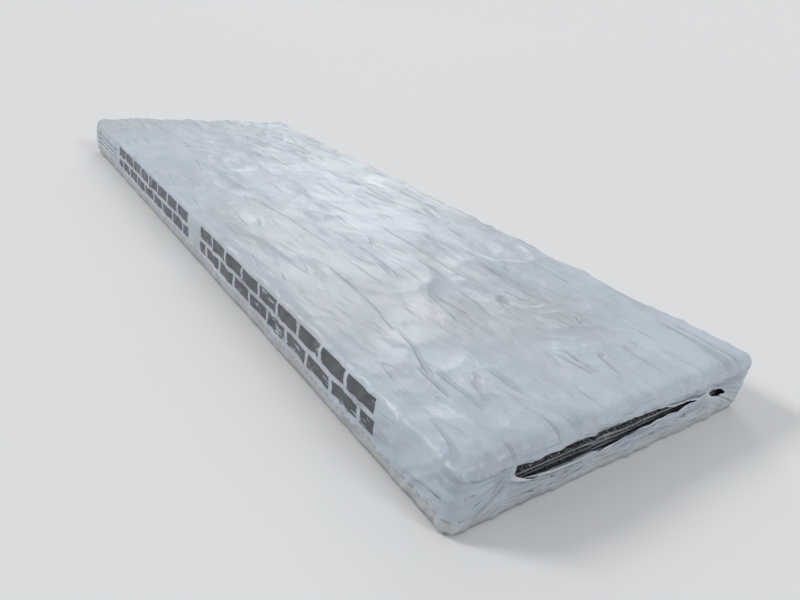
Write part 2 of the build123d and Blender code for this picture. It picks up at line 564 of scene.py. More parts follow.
    def relief(self, x: Array, s: Array, cap: Array, inward: Array, y: Array, ny: Array, nz: Array) -> Array:
        """Height of the wrinkles and the lap: little on the underside, no deep valley on the upper face.

        Args:
            x: place along the bundle.
            s: place round the section.
            cap: cap parameter, whose sign names the end.
            inward: share of the way across the end wall to the mouth's rim.
            y: place across the bundle, drawn in on the end walls.
            ny: the section's outward normal, its part along y.
            nz: the section's outward normal, its part along z.

        Returns:
            The height along the normal at each point, in metres.
        """
        wrinkles = Wrinkles(self.half_length - self.end_radius)
        once = np.where(s > self.perimeter() - 8 * MM, s - self.perimeter(), s)
        height = wrinkles.sleeve(x, once, ny, nz) * (1.0 - smoothstep(0.0, 0.3, inward))
        height = height + wrinkles.wall(once, cap, inward, y, nz)
        height = height * (1.0 - 0.85 * smoothstep(0.2, 0.8, -nz) * (np.abs(cap) < 0.2))
        return np.where(nz > 0.5, np.maximum(height, -self.deepest_valley), height) + self.lap(x, s, cap)

    def rims(self, y: Array, z: Array, cap: Array) -> tuple[Array, Array]:
        """Place on the ragged rim that each line of the end wall runs to, a like share across the mouth.

        Args:
            y: place across the bundle where each line starts, on the end wall's outer edge.
            z: its height there.
            cap: cap parameter, whose sign names the end.

        Returns:
            The y and z on the rim.
        """
        middle = self.height / 2
        share_y = y / (self.half_width - self.end_radius)
        share_z = (z - middle) / (middle - self.end_radius)
        result = []
        for mouth in self.mouths:
            rim_y = mouth.across(share_y)
            half = np.where(share_z > 0, mouth.opening(rim_y, True), mouth.opening(rim_y, False))
            rag = Noise(11 + mouth.side)(rim_y / (11 * MM), share_z) * 1.3 * MM
            rag += Noise(21 + mouth.side)(rim_y / (35 * MM), share_z) * 1.0 * MM
            result.append((rim_y + 0 * rag, mouth.axis(rim_y) + share_z * half + rag * np.abs(share_z)))
        left, right = result
        return np.where(cap > 0, right[0], left[0]), np.where(cap > 0, right[1], left[1])

    def lap(self, x: Array, s: Array, cap: Array) -> Array:
        """Offset of the lap: its last stretch is sunk by lap_step, its first edge lifted in saw teeth.

        Args:
            x: place along the bundle.
            s: place round the section.
            cap: cap parameter, whose sign names the end.

        Returns:
            The height to add along the normal, in metres.
        """
        whole = self.perimeter()
        sunk = -self.lap_step * smoothstep(whole - 18 * MM, whole - 6 * MM, s)
        ragged = 0.5 + 0.5 * saw(x) + 0.5 * Noise(21)(x / 0.04, 0.3)
        lift = bell(self.lap_start(), 2.6 * MM, s) * ragged * 0.9 * MM
        fade = smoothstep(0.2, 0.6, np.abs(cap))
        return sunk * (1.0 - 0.7 * fade) + lift * (1.0 - fade)

    def cut_tears(self, points: Array, cap: Array, lip: Array) -> Array:
        """Open the tears in the end walls, moving the points in each on to its edge, and dimple the wall.

        Args:
            points: (rows, columns, 3), which change in place.
            cap: cap parameter, whose sign names the end.
            lip: how much each point belongs to a torn edge, which changes in place too.

        Returns:
            The mask of the quads that stay.
        """
        keep = np.ones((points.shape[0] - 1, points.shape[1] - 1), dtype=bool)
        for tear in self.tears:
            wall = cap * tear.side > 0.3
            far, _, _ = tear.reach(points[..., 1], points[..., 2])
            inside = wall & (far < 1.0)
            keep &= ~(inside[:-1, :-1] & inside[1:, :-1] & inside[1:, 1:] & inside[:-1, 1:])
            y, z = tear.push_out(points[..., 1], points[..., 2])
            points[..., 1] = np.where(inside, y, points[..., 1])
            points[..., 2] = np.where(inside, z, points[..., 2])
            pushed = bell(1.0, 0.35, far) * 0.9 * MM - bell(0.0, 2.4, far) * 4.5 * MM
            points[..., 0] += wall * tear.side * pushed
            # Torn edges join the lip value, which the finish paints as a highlight
            lip += wall * bell(0.9, 0.5, far)
        return keep


@dataclass(frozen=True)
class Flap:
    """Strip of film along a stretch of a mouth's lip, which hangs across the opening or curls outwards.

    From its line on the lip it runs width far into the opening, while its direction turns by curl, so that a
    curl of 0.5 is a flat tongue and one of 3.5 a rolled hem. It tapers to nothing at both ends. It starts by
    root behind the lip's line, and stands proud of the end wall.
    """

    name: str
    mouth: Mouth
    upper: bool
    start: float
    stop: float
    width: float
    curl: float
    root: float
    proud: float
    seed: int

    def build(self, sleeve: FilmSleeve) -> Piece:
        """Make the strip as a grid of 90 quads along the lip by 14 across it.

        Args:
            sleeve: the film sleeve on whose end wall it stands.

        Returns:
            The flap's object.
        """
        along = np.linspace(0.0, 1.0, 91)[:, None]
        out = np.linspace(0.0, 1.0, 15)[None, :]
        p = self.start + (self.stop - self.start) * along
        y = self.mouth.side * p
        down = -1.0 if self.upper else 1.0
        lip = self.mouth.axis(y) - down * self.mouth.opening(y, self.upper)
        taper = smoothstep(0.0, 0.25, along) * smoothstep(1.0, 0.7, along)
        ragged = 1.0 + 0.35 * Noise(self.seed)(p / 0.012, 0.4) + 0.2 * Noise(self.seed + 1)(p / 0.004, 0.4)
        length = self.width * taper * ragged
        fall, lift = np.sin(self.curl * out) / self.curl, (1.0 - np.cos(self.curl * out)) / self.curl
        wave = Noise(self.seed + 2)(p / 0.02, out * 0.5) * 0.6 * MM
        face = sleeve.half_length - sleeve.dish + self.proud
        z = lip - down * self.root + down * length * fall
        x = self.mouth.side * (face + length * lift + wave)
        # A lip value of 0.6 gives the flaps part of the painted highlight of the lips
        values = {name: 0 * z for name in ("crest", "band", "wall", "gather")} | {"lip": 0 * z + 0.6}
        surface = Surface.grid(stacked(x, y, z), uv=stacked(0.55 + 0 * z, p), values=values)
        if self.upper:
            surface.faces = surface.faces[:, ::-1]
        return surface.build(self.name)


@dataclass
class ShinglePack:
    """The sixteen laminated shingles, each one with rough-cut ends where the film's mouths show them.

    At its ends a shingle's loose parts lift by lift, over end_reach, and its cut ends wander by cut_wander.
    """

    teeth: Floats = (118 * MM, 92 * MM, 104 * MM, 86 * MM, 110 * MM)
    slots: Floats = (96 * MM, 112 * MM, 90 * MM, 106 * MM)
    slot_depth: float = 143 * MM
    backing_width: float = 156 * MM
    step_run: float = 25 * MM
    top_ply: float = 2.25 * MM
    backing_ply: float = 2.0 * MM
    flare_left: float = 4 * MM
    flare_right: float = 16 * MM
    tooth_edge: float = 0.3 * MM
    across_cells: int = 200
    layers: Floats = (0.0, 0.08, 0.25, 0.5, 0.75, 0.92, 1.0)
    thinned: float = 0.25 * MM
    end_reach: float = 90 * MM
    lift: float = 0.6 * MM
    cut_wander: float = 0.8 * MM
    worn_back: float = 1.3 * MM
    worn_face: float = 0.8 * MM

    def build(self) -> list[Piece]:
        """Make every shingle, number by number, in the place of its node.

        Returns:
            The shingles' objects, from the bottom of the pack upwards.
        """
        pieces = []
        for number, node in enumerate(SHINGLE_NODES):
            piece = self.shingle(number, node)
            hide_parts(node)
            pieces.append(piece)
        return pieces

    def stations(self, length: float) -> tuple[Array, Array, Array]:
        """Lines across the shingle, between which its teeth and its slots lie.

        Each edge of a tooth has two lines tooth_edge apart, one on the tooth and one down in the slot.

        Args:
            length: the shingle's length, in metres.

        Returns:
            Each line's x from the shingle's middle, how far it leans at the butt, and 1 where it has the top
            ply or 0 where it lies in a slot.
        """
        x, lean, ply = [0.0], [0.0], [1.0]
        place = 0.0
        for index, tooth in enumerate(self.teeth):
            x += list(np.linspace(place, place + tooth, 5)[1:])
            lean += [0.0] * 3 + [-self.flare_left]
            ply += [1.0] * 4
            place += tooth
            last = index == len(self.slots)
            gap = length - place if last else self.slots[index]
            x += [place + self.tooth_edge, place + gap / 2, place + gap - self.tooth_edge]
            lean += [-self.flare_left, 0.0, 0.0 if last else self.flare_right]
            ply += [0.0] * 3
            place += gap
            if not last:
                x.append(place)
                lean.append(self.flare_right)
                ply.append(1.0)
        return np.array(x) - length / 2, np.array(lean), np.array(ply)

    def shingle(self, number: int, node: str) -> Piece:
        """One shingle as a closed slab: a lower and an upper sheet, a ring of edge rows between them.

        Face up, its lower sheet is at 0 and its upper one at backing + top ply, less the top ply in a slot,
        and the top ply steps down behind the backing by a smoothstep. Every second one is turned over.

        Args:
            number: its place in the pack, from 0.
            node: the CAD node that it stands for.

        Returns:
            The shingle's object.
        """
        low, high = (np.array(corner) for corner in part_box(node))
        length, width, _ = high - low
        x, lean, ply = self.stations(length)
        y = np.linspace(0.0, width, self.across_cells + 1)[None, :]
        xs = x[:, None] + lean[:, None] * np.clip(1.0 - y / self.slot_depth, 0.0, 1.0)
        step_end = self.backing_width + self.step_run
        behind = smoothstep(self.backing_width, step_end, y)
        in_slot = (1.0 - ply[:, None]) * (y < self.slot_depth)
        upper = self.backing_ply * (1.0 - behind) + self.top_ply * (1.0 - in_slot) + 0.0 * xs
        upper = upper - self.thinned * (0.5 + 0.5 * Noise(40 + number)(xs / 0.03, y / 0.02))
        near_end = smoothstep(length / 2 - self.end_reach, length / 2 - 5 * MM, xs)
        loose = smoothstep(self.slot_depth, self.slot_depth - 30 * MM, y)
        loose = loose + smoothstep(step_end, step_end + self.step_run, y)
        swing = self.lift + 0.25 * MM * Noise(140 + number)(y / 0.05, xs / 0.05)
        bend = swing * near_end * loose
        points = self.slab(xs, y + 0.0 * xs, bend, upper + bend, self.cut_ends(number, y))
        if number % 2 == 1:
            points[..., 1] = width - points[..., 1]
            points[..., 2] = (high[2] - low[2]) - points[..., 2]
        points += [(low[0] + high[0]) / 2, low[1], low[2]]
        piece = self.closed(points, number).build(f"{node}_dressed")
        piece.data.set_sharp_from_angle(angle=math.radians(40))
        return piece

    def cut_ends(self, number: int, y: Array) -> list[Array]:
        """How far the cut ends stand in.

        Each shingle breaks off by itself: a slow wander, a fine one for each layer, and worn edges along its
        back and its face, so that a narrow furrow runs between two shingles, which the finish paints
        near-black as shade.

        Args:
            number: the shingle's place in the pack, from 0.
            y: places across the shingle, (1, across).

        Returns:
            The left end's and the right end's, each (layer, across), in metres.
        """
        layers = np.array(self.layers)[:, None]
        worn = bell(0.0, 0.10, layers) * self.worn_back + bell(1.0, 0.07, layers) * self.worn_face
        result = []
        for seed in (60, 90):
            wander = Noise(seed + number)(y / 0.03, 0.5) * self.cut_wander
            fine = Noise(seed + 200 + number)(y / 0.010, layers * 2.0) * 0.25 * MM
            result.append(np.abs(wander + fine) + worn)
        return result

    def slab(self, xs: Array, ys: Array, lower: Array, upper: Array, rough: list[Array]) -> Array:
        """Stack of sheets from a lower height up to an upper one, at the shares in layers.

        Args:
            xs: place along the shingle, (line, across).
            ys: place across it, (line, across).
            lower: height of its back, (line, across).
            upper: height of its face, (line, across).
            rough: how far the left and the right end stand in, each (layer, across).

        Returns:
            The points, (layer, line, across, 3).
        """
        points = np.empty((len(self.layers), *xs.shape, 3))
        points[..., 0] = xs
        points[..., 1] = ys
        points[..., 2] = lower + (upper - lower) * np.array(self.layers)[:, None, None]
        points[:, 0, :, 0] += rough[0]
        points[:, -1, :, 0] -= rough[1]
        return points

    def closed(self, points: Array, number: int) -> Surface:
        """Skin of a block of points, all six sides, facing outwards.

        Args:
            points: (layer, line, across, 3).
            number: the shingle's number, which shifts its pattern.

        Returns:
            The closed surface, its edge value 1 on the cut edges and 0 on the faces, its value for painted
            shade in the furrows, 1 on the back and 0.7 on the face, its cut value 1 at the cut ends, where
            the finish paints the faces with shade, with a UV of x and y.
        """
        shape = points.shape[:3]
        index = np.arange(math.prod(shape)).reshape(shape)
        # Each side, and which way its quads run so that they face outwards
        sides = ((index[0], -1), (index[-1], 1), (index[:, 0], 1), (index[:, -1], -1), (index[:, :, 0], -1),
                 (index[:, :, -1], 1))
        faces = np.concatenate([Surface.quads(side).reshape(-1, 4)[:, ::way] for side, way in sides])
        values = {name: np.zeros(shape) for name in ("edge", "groove_shade", "cut")}
        values["edge"][1:-1] = 1.0
        # Painted shade: the back's two rows and the face's two rows of every cut edge are darkened by the
        # finish, for the shade in the furrows between shingles
        values["groove_shade"][:2] = 1.0
        values["groove_shade"][-2:] = 0.7
        # Painted shade: the faces at the cut ends are darkened by the finish, for the shade in the gaps
        # between shingles that the mouths show
        values["cut"][:, [0, -1]] = 1.0
        flat = points.reshape(-1, 3)
        values = {name: value.reshape(-1) for name, value in values.items()}
        return Surface(flat, faces, flat[:, :2] + number * 0.37, values)


@dataclass(frozen=True)
class LooseGranules:
    """Pale and dark mineral granules that stick to the cut ends and lie behind the film's mouths.

    By shares they lie within spread or so of the heights in lines, and inside reach by about depth.
    """

    count: int = 460
    size: float = 0.55 * MM
    reach: float = 501.2 * MM
    half_width: float = 135 * MM
    spread: float = 0.9 * MM
    depth: float = 0.5 * MM
    lines: Floats = (19.3 * MM, 22.6 * MM, 26.0 * MM, 32.7 * MM, 36.1 * MM, 39.4 * MM)
    shares: Floats = (0.1, 0.25, 0.3, 0.1, 0.15, 0.1)

    def build(self) -> Piece:
        """Scatter eight-sided grains over both cut ends as one mesh.

        Every grain is an octahedron with corners pushed about by a fifth. Grains are drawn evenly across the
        part of each end that a mouth shows.

        Returns:
            The grains' object, with a value pale from 0 to 1 for each grain.
        """
        rng = np.random.default_rng(77)
        axes = np.array([[1, 0, 0], [-1, 0, 0], [0, 1, 0], [0, -1, 0], [0, 0, 1], [0, 0, -1]], float)
        sides = np.array([[0, 2, 4], [2, 1, 4], [1, 3, 4], [3, 0, 4],
                          [2, 0, 5], [1, 2, 5], [3, 1, 5], [0, 3, 5]])
        side = np.where(rng.random(self.count) < 0.5, -1.0, 1.0)
        y = rng.uniform(-self.half_width, self.half_width, self.count)
        z = rng.choice(self.lines, self.count, p=self.shares) + rng.normal(0, self.spread, self.count)
        x = side * (self.reach - np.abs(rng.normal(0, self.depth, self.count)))
        centre = np.stack([x, y, z], axis=1)[:, None, :]
        scale = self.size * rng.uniform(0.45, 1.1, (self.count, 1, 1))
        points = centre + axes[None] * scale * rng.uniform(0.8, 1.2, (self.count, 6, 1))
        faces = sides[None] + 6 * np.arange(self.count)[:, None, None]
        pale = np.repeat(rng.random(self.count), 6)
        grains = Surface(points.reshape(-1, 3), faces.reshape(-1, 3), values={"pale": pale})
        return grains.build("loose_granules")


class Socket(Enum):
    """Inputs of the surface shader that a finish drives."""

    COLOUR = "Base Color"
    ROUGHNESS = "Roughness"
    NORMAL = "Normal"


@dataclass
class Tree:
    """A node tree, built by short calls."""

    # Where a Mix node that blends colours has its sockets
    MIX_INPUTS = (0, 6, 7)
    MIX_RESULT = 2

    tree: bpy.types.NodeTree

    def node(self, kind: str, *inputs: Any, **settings: Any) -> bpy.types.Node:
        """Add a node.

        Args:
            kind: the node's type, without the ShaderNode in front.
            inputs: values or sockets for its inputs, in order, None leaving one as it is.
            settings: properties of the node.

        Returns:
            The node.
        """
        made = self.tree.nodes.new(f"ShaderNode{kind}")
        for key, value in settings.items():
            setattr(made, key, value)
        for index, value in enumerate(inputs):
            self.feed(made.inputs[index], value)
        return made

    def named(self, kind: str, **inputs: Any) -> bpy.types.Node:
        """Add a node, its inputs fed by their names.

        Args:
            kind: the node's type, without the ShaderNode in front.
            inputs: values or sockets, by the inputs' names with underscores for spaces.

        Returns:
            The node.
        """
        made = self.node(kind)
        for key, value in inputs.items():
            self.feed(made.inputs[key.replace("_", " ")], value)
        return made

    def feed(self, target: Any, value: Any) -> None:
        """Link a socket to an input, or set its value.

        Args:
            target: the input.
            value: the socket or the value, or None to leave the input as it is.
        """
        if value is None:
            return
        if isinstance(value, bpy.types.NodeSocket):
            self.tree.links.new(value, target)
        else:
            target.default_value = value

    def math(self, operation: str, *inputs: Any) -> Any:
        """A Math node's result."""
        return self.node("Math", *inputs, operation=operation).outputs[0]

    def times(self, first: Any, *others: Any) -> Any:
        """Product of sockets and values.

        Args:
            first: a socket or a value.
            others: the sockets and values that multiply it.

        Returns:
            The product.
        """
        for other in others:
            first = self.math("MULTIPLY", first, other)
        return first

    def inverse(self, share: Any) -> Any:
        """1 less the share."""
        return self.math("SUBTRACT", 1.0, share)

    def part(self, vector: Any, index: int) -> Any:
        """One number of a vector or a colour."""
        return self.node("SeparateXYZ", vector).outputs[index]

    def ramp(self, value: Any, low: float, high: float) -> Any:
        """Share from 0 at low to 1 at high, eased."""
        return self.node("MapRange", value, low, high, interpolation_type="SMOOTHSTEP").outputs[0]

    def scaled(self, value: Any, low: float, high: float, bottom: Any, top: Any) -> Any:
        """Value carried evenly from low and high to bottom and top, and held between them."""
        return self.node("MapRange", value, low, high, bottom, top).outputs[0]

    def between(self, value: Any, low: float, high: float) -> Any:
        """1 between low and high, else 0."""
        return self.times(self.math("GREATER_THAN", value, low), self.math("LESS_THAN", value, high))

    def contour(self, value: Any, width: float) -> Any:
        """1 on the contour where a noise is 0.5, fading out over width."""
        return self.ramp(self.math("ABSOLUTE", self.math("SUBTRACT", value, 0.5)), width, width * 0.3)

    def mix(self, share: Any, first: Any, second: Any) -> Any:
        """Blend of two colours.

        Args:
            share: how much of the second colour shows, from 0 to 1.
            first: the colour at 0.
            second: the colour at 1.

        Returns:
            The blended colour.
        """
        made = self.node("Mix", data_type="RGBA")
        for index, value in zip(self.MIX_INPUTS, (share, first, second)):
            self.feed(made.inputs[index], value)
        return made.outputs[self.MIX_RESULT]


class Graph(Tree):
    """The node tree of a material, whose surface is one Principled shader."""

    def __init__(self, name: str) -> None:
        """Start an empty material with its shader.

        Args:
            name: the material's name.
        """
        self.material = bpy.data.materials.new(name)
        self.material.use_nodes = True
        super().__init__(self.material.node_tree)
        self.tree.nodes.clear()
        self.shader = self.node("BsdfPrincipled")
        self.named("OutputMaterial", Surface=self.shader.outputs[0])

    @cached_property
    def place(self) -> Any:
        """Place on the object, in metres."""
        return self.node("TexCoord").outputs["Object"]

    @cached_property
    def uv(self) -> Any:
        """Place on the film: along the bundle and round its section, in metres."""
        return self.node("UVMap", uv_map="along").outputs[0]

    def attribute(self, name: str) -> Any:
        """One of the mesh's own values."""
        return self.node("Attribute", attribute_name=name).outputs["Fac"]

    def stretch(self, vector: Any, scale: Floats, turn: float = 0.0) -> Any:
        """Coordinates scaled, then turned about Z."""
        return self.node("Mapping", vector, None, (0.0, 0.0, turn), scale).outputs[0]

    def drift(self, scale: float, amount: float) -> Any:
        """The film's coordinates, pushed about by a noise.

        Args:
            scale: the noise's scale.
            amount: how far it can push them, in metres.

        Returns:
            The pushed coordinates.
        """
        push = self.named("TexNoise", Vector=self.place, Scale=scale).outputs["Color"]
        shift = (amount, amount, 0.0)
        return self.node("VectorMath", push, shift, self.uv, operation="MULTIPLY_ADD").outputs[0]

    def noise(self, vector: Any, scale: float, detail: float = 3.0, rough: float = 0.5) -> Any:
        """Noise texture's value."""
        return self.named("TexNoise", Vector=vector, Scale=scale, Detail=detail, Roughness=rough).outputs[0]

    def streaks(self, vector: Any, scale: Floats, turn: float = 0.0, detail: float = 3.0,
                rough: float = 0.5) -> Any:
        """Noise on coordinates that are stretched, then turned."""
        return self.noise(self.stretch(vector, scale, turn), 1.0, detail, rough)

    def patches(self, scale: float, low: float, high: float, detail: float = 2.0, rough: float = 0.5) -> Any:
        """Patches on the object where a noise goes from low to high."""
        return self.ramp(self.noise(self.place, scale, detail, rough), low, high)

    def specks(self, vector: Any, scale: float) -> bpy.types.Node:
        """Voronoi cells, for grains, specks and facets."""
        return self.named("TexVoronoi", Vector=vector, Scale=scale)

    def bump(self, height: Any, distance: float, under: Any = None) -> Any:
        """Bump from a height, on top of another bump."""
        return self.named("Bump", Distance=distance, Height=height, Normal=under).outputs[0]

    def finish(self, links: dict[Socket, Any], **constants: float) -> bpy.types.Material:
        """Link the shader's inputs and set its constants.

        Args:
            links: the socket or value for each input that the finish drives.
            constants: the values of other inputs, by their names with underscores for spaces.

        Returns:
            The material.
        """
        for socket, value in links.items():
            self.feed(self.shader.inputs[socket.value], value)
        for key, value in constants.items():
            self.shader.inputs[key.replace("_", " ")].default_value = value
        return self.material


@dataclass(frozen=True)
class FilmFinish:
    """Creased polyethylene film: pale blue-grey, dusty along its foot, with a worn block print on the front.
    Its colour also carries painted light: highlights on crests, lips and flaps, painted shade in pleats,
    creases, valleys and end-wall folds, and a painted shadow under the lap's serrated edge.

    The print is placed along the bundle, and round it from the foot of the straight front face. A rule takes
    rule_share of its pitch.
    """

    # Pale tone of the film's random clouds, also used as the painted highlight on the wrinkles' crests
    light: Floats = (0.54, 0.605, 0.68, 1.0)
    shade: Floats = (0.41, 0.475, 0.55, 1.0)
    # Painted shade along the pleats and, with some grime, in the wrinkles' valleys; also the dark of a fine
    # random grain
    valley: Floats = (0.21, 0.25, 0.30, 1.0)
    # Darkest film tone: painted shade, partly grime, along creases and end-wall folds, and the painted shadow
    # under the lap's edge; also dark streaks, nicks and rubbed specks
    fold: Floats = (0.12, 0.145, 0.18, 1.0)
    # Painted highlight along the mouths' and tears' edges and, in part, on the flaps
    lip: Floats = (0.74, 0.77, 0.80, 1.0)
    dust: Floats = (0.485, 0.478, 0.46, 1.0)
    ink: Floats = (0.050, 0.052, 0.060, 1.0)
    print_from: float = -336 * MM
    print_to: float = 420 * MM
    print_foot: float = 8.5 * MM
    print_head: float = 43.5 * MM
    brick: float = 42 * MM
    brick_gap: float = 2.4 * MM
    rules_from: float = -487 * MM
    rules_to: float = -357 * MM
    rules_foot: float = 14 * MM
    rules_head: float = 34 * MM
    rule_pitch: float = 7.5 * MM
    rule_share: float = 0.22
    lap_edge: float = 5.5 * MM

    # Each family of pleats: its noise's stretch and turn, how many folds it makes, the scale of its patches
    families: tuple[tuple[Any, ...], ...] = (
        ((1.9, 9.5, 1.0), 0.42, 3.5, 6.0),
        ((3.2, 13.0, 1.0), -0.62, 3.0, 7.5),
        ((8.0, 30.0, 1.0), 0.80, 3.0, 9.0),
    )

    def make(self) -> bpy.types.Material:
        """Build the material, its colour as coats that are laid one over the other.

        Returns:
            The material.
        """
        g = Graph("film")
        mask = {name: g.attribute(name) for name in ("crest", "band", "lip", "wall", "gather")}
        sleeve = g.inverse(mask["wall"])
        pleats = [g.times(pleat, sleeve) for pleat in self.pleats(g)]
        creases = g.times(self.creases(g), sleeve)
        # Where each coat lies, its share and its colour
        coats = (
            # The pleats darken towards each crease: painted shade across the folds
            (pleats[0], 0.24, self.valley),
            (pleats[1], 0.22, self.valley),
            (pleats[2], 0.24, self.valley),
            (g.patches(220.0, 0.45, 0.68, 4.0, 0.72), 0.20, self.valley),
            # Painted shade along the thin creases, partly grime
            (creases, 0.42, self.fold),
            # Painted highlight on the wrinkles' crests
            (g.ramp(mask["crest"], 0.15, 0.8), 0.35, self.light),
            # Painted shade in the wrinkles' valleys, partly grime
            (g.ramp(mask["crest"], 0.0, -0.5), 0.4, self.valley),
            (g.patches(4.5, 0.50, 0.68, 5.0, 0.68), 0.35, self.dust),
            (self.dusty(g, mask), 0.7, self.dust),
            # Painted shadow of the serrated lap edge on the turn below
            (self.edge_shadow_dashes(g), 0.55, self.fold),
            (g.ramp(g.streaks(g.uv, (30.0, 120.0, 1.0), 0.5), 0.62, 0.76), 0.12, self.fold),
            # Painted shade along the end walls' fold lines, partly grime
            (self.folds(g, mask), 0.8, self.fold),
            (self.scuffs(g), 0.55, self.fold),
            (self.printed(g), 0.94, self.ink),
            # Painted highlight on lips, torn edges and flaps
            (mask["lip"], 0.7, self.lip),
        )
        tone = g.mix(g.patches(7.0, 0.36, 0.62, 6.0, 0.68), self.shade, self.light)
        for cover, share, colour in coats:
            tone = g.mix(g.times(cover, share), tone, colour)
        gloss = g.scaled(g.noise(g.place, 25.0), 0.3, 0.7, 0.32, 0.46)
        relief = self.crinkle(g, pleats, creases)
        links = {Socket.COLOUR: tone, Socket.ROUGHNESS: gloss, Socket.NORMAL: relief}
        return g.finish(links, Specular_IOR_Level=0.5)

    def pleats(self, g: Graph) -> list[Any]:
        """Families of shallow folds, each one rising softly from 0 to 1 and dropping back along a crease.

        Args:
            g: the film's graph.

        Returns:
            One share for each family.
        """
        drift = g.drift(9.0, 0.03)
        found = []
        for scale, turn, count, at in self.families:
            height = g.streaks(drift, scale, turn, 2.5)
            rise = g.math("FRACT", g.times(height, count))
            found.append(g.times(rise, g.patches(at, 0.44, 0.60)))
        return found

    def creases(self, g: Graph) -> Any:
        """Thin creases in two directions, gathered in patches.

        Args:
            g: the film's graph.

        Returns:
            A share that is 1 along a crease.
        """
        first = g.contour(g.streaks(g.uv, (2.2, 17.0, 1.0), 0.38, 1.0), 0.014)
        second = g.contour(g.streaks(g.uv, (4.0, 24.0, 1.0), -0.62, 1.0), 0.018)
        return g.math("MAXIMUM", g.times(first, g.patches(13.0, 0.48, 0.62)),
                      g.times(second, g.patches(17.0, 0.50, 0.38)))

    def crinkle(self, g: Graph, pleats: list[Any], creases: Any) -> Any:
        """Fine relief: broad flat facets, the pleats, the thin creases pressed in, and a slight ripple.

        Args:
            g: the film's graph.
            pleats: the shares of the families of folds.
            creases: the share of the thin creases.

        Returns:
            The normal, for the shader.
        """
        facets = g.specks(g.stretch(g.drift(12.0, 0.02), (12.0, 19.0, 1.0), 0.6), 1.0)
        facets.distance = "MANHATTAN"
        normal = g.bump(facets.outputs["Distance"], 1.6 * MM)
        for pleat in pleats:
            normal = g.bump(pleat, 1.7 * MM, normal)
        normal = g.bump(creases, -0.8 * MM, normal)
        return g.bump(g.streaks(g.uv, (55.0, 90.0, 1.0), 0.9, 4.0, 0.55), 1.0 * MM, normal)

    def dusty(self, g: Graph, mask: dict[str, Any]) -> Any:
        """Dust in patches along the bundle's foot, and on the turn of film that lies under the lap.

        Args:
            g: the film's graph.
            mask: the mesh's own values, by name.

        Returns:
            The share of dust.
        """
        low = g.times(g.ramp(g.part(g.place, 2), 22 * MM, 6 * MM), g.patches(40.0, 0.3, 0.6, 4.0, 0.7))
        below = g.times(mask["band"], g.math("MULTIPLY_ADD", mask["wall"], -0.8, 1.0))
        return g.math("MAXIMUM", low, below)

    def folds(self, g: Graph, mask: dict[str, Any]) -> Any:
        """Dark thin fold lines in the end walls, painted shade with some grime: along the lips in the middle,
        fanned out at the sides.

        Args:
            g: the film's graph.
            mask: the mesh's own values, by name.

        Returns:
            A share that is 1 along a fold line.
        """
        lips = g.contour(g.streaks(g.uv, (420.0, 9.0, 1.0), 0.03, 2.0), 0.018)
        fans = g.contour(g.streaks(g.uv, (30.0, 330.0, 1.0), 0.0, 2.0), 0.022)
        either = g.math("MAXIMUM", g.times(lips, g.inverse(mask["gather"])), g.times(fans, mask["gather"]))
        return g.times(either, mask["wall"])

    def edge_shadow_dashes(self, g: Graph) -> Any:
        """Row of short dark dashes, one to a saw tooth, where the film's cut edge lies on the turn below: a
        painted shadow of the lifted teeth.
        """
        dash = g.math("LESS_THAN", g.math("FRACT", g.times(g.part(g.uv, 0), 1.0 / TOOTH)), 0.55)
        return g.times(dash, g.between(g.part(g.uv, 1), self.lap_edge - 1.0 * MM, self.lap_edge + 0.9 * MM))

    def scuffs(self, g: Graph) -> Any:
        """Nicks and rubbed specks, gathered in patches.

        Args:
            g: the film's graph.

        Returns:
            A share that is 1 on a nick and 0.6 on a rubbed speck.
        """
        dots = g.specks(g.place, 130.0)
        size = g.times(g.part(dots.outputs["Color"], 1), 0.20)
        chosen = g.math("LESS_THAN", dots.outputs["Distance"], size)
        nicks = g.times(chosen, g.patches(11.0, 0.60, 0.72, 3.0, 0.6))
        rub = g.ramp(g.streaks(g.place, (60.0, 60.0, 400.0), 0.0, 4.0, 0.7), 0.66, 0.74)
        return g.math("MAXIMUM", nicks, g.times(rub, 0.6))

    def printed(self, g: Graph) -> Any:
        """The blocks and the rules of the print, worn in streaks and patches, most of all along the foot.

        Args:
            g: the film's graph.

        Returns:
            The share of ink.
        """
        u, v = g.part(g.uv, 0), g.part(g.uv, 1)
        ink = g.math("MAXIMUM", self.blocks(g, u, v), self.rules(g, u, v))
        streak = g.streaks(g.uv, (45.0, 150.0, 1.0), 0.45, 6.0, 0.74)
        patch = g.times(g.math("SUBTRACT", g.noise(g.place, 10.0, 2.0), 0.5), 0.55)
        foot = g.times(g.ramp(v, 22 * MM, 8 * MM), 0.05)
        worn = g.math("ADD", g.math("ADD", streak, patch), foot)
        return g.times(ink, g.ramp(worn, 0.67, 0.61))

    def blocks(self, g: Graph, u: Any, v: Any) -> Any:
        """Two staggered courses of plain blocks, in two groups with one block left out between them.

        Args:
            g: the film's graph.
            u: place along the bundle.
            v: place round the section.

        Returns:
            A share that is 1 on a block.
        """
        shifted = g.node("Mapping", g.uv, (0.0, -self.print_foot, 0.0)).outputs[0]
        course = (self.print_head - self.print_foot) / 2
        bricks = g.named("TexBrick", Vector=shifted, Scale=1.0, Brick_Width=self.brick, Row_Height=course,
                         Mortar_Size=self.brick_gap, Mortar_Smooth=0.0)
        along, over = (self.print_from, self.print_to), (self.print_foot, self.print_head)
        window = g.times(g.between(u, *along), g.between(v, *over))
        return g.times(g.inverse(bricks.outputs["Fac"]), window, g.inverse(g.between(u, 0.0, self.brick)))

    def rules(self, g: Graph, u: Any, v: Any) -> Any:
        """Three thin rules beside the blocks.

        Args:
            g: the film's graph.
            u: place along the bundle.
            v: place round the section.

        Returns:
            A share that is 1 on a rule.
        """
        stripes = g.math("FRACT", g.times(g.math("SUBTRACT", v, self.rules_foot), 1.0 / self.rule_pitch))
        along, over = (self.rules_from, self.rules_to), (self.rules_foot, self.rules_head)
        thin = g.math("LESS_THAN", stripes, self.rule_share)
        return g.times(thin, g.between(u, *along), g.between(v, *over))


